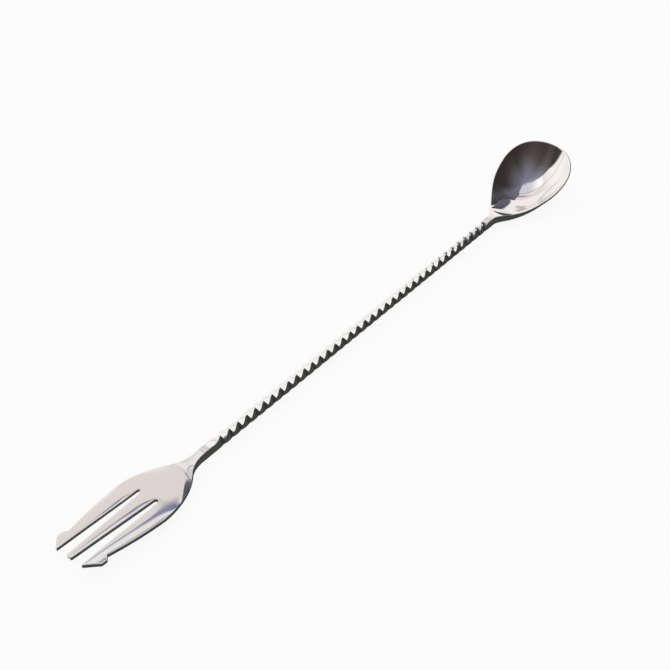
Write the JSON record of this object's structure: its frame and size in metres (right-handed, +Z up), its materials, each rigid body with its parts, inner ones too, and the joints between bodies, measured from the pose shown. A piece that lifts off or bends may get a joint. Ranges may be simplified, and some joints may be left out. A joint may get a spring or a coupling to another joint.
{
  "type": "bar spoon",
  "caption": "Twisted-stem bar spoon in polished stainless steel, with a teardrop bowl at one end and a barbed trident garnish fork at the other.",
  "frame": {"origin": "on the surface the bar spoon rests on, below the middle of its length", "axes": "+X along the stem from the fork to the spoon, +Y across it to the left, +Z up out of the bowl"},
  "size_m": [0.2612, 0.0286, 0.0176],
  "materials": {
    "polished_steel": "mirror-polished stainless steel, fine buffing lines",
    "weld_steel": "stainless weld metal ground flush and polished"
  },
  "bodies": {
    "root": {"spoon_head": "polished_steel", "spoon_weld": "weld_steel", "twisted_stem": "polished_steel", "fork_weld": "weld_steel", "fork_head": "polished_steel"}
  },
  "joints": []
}
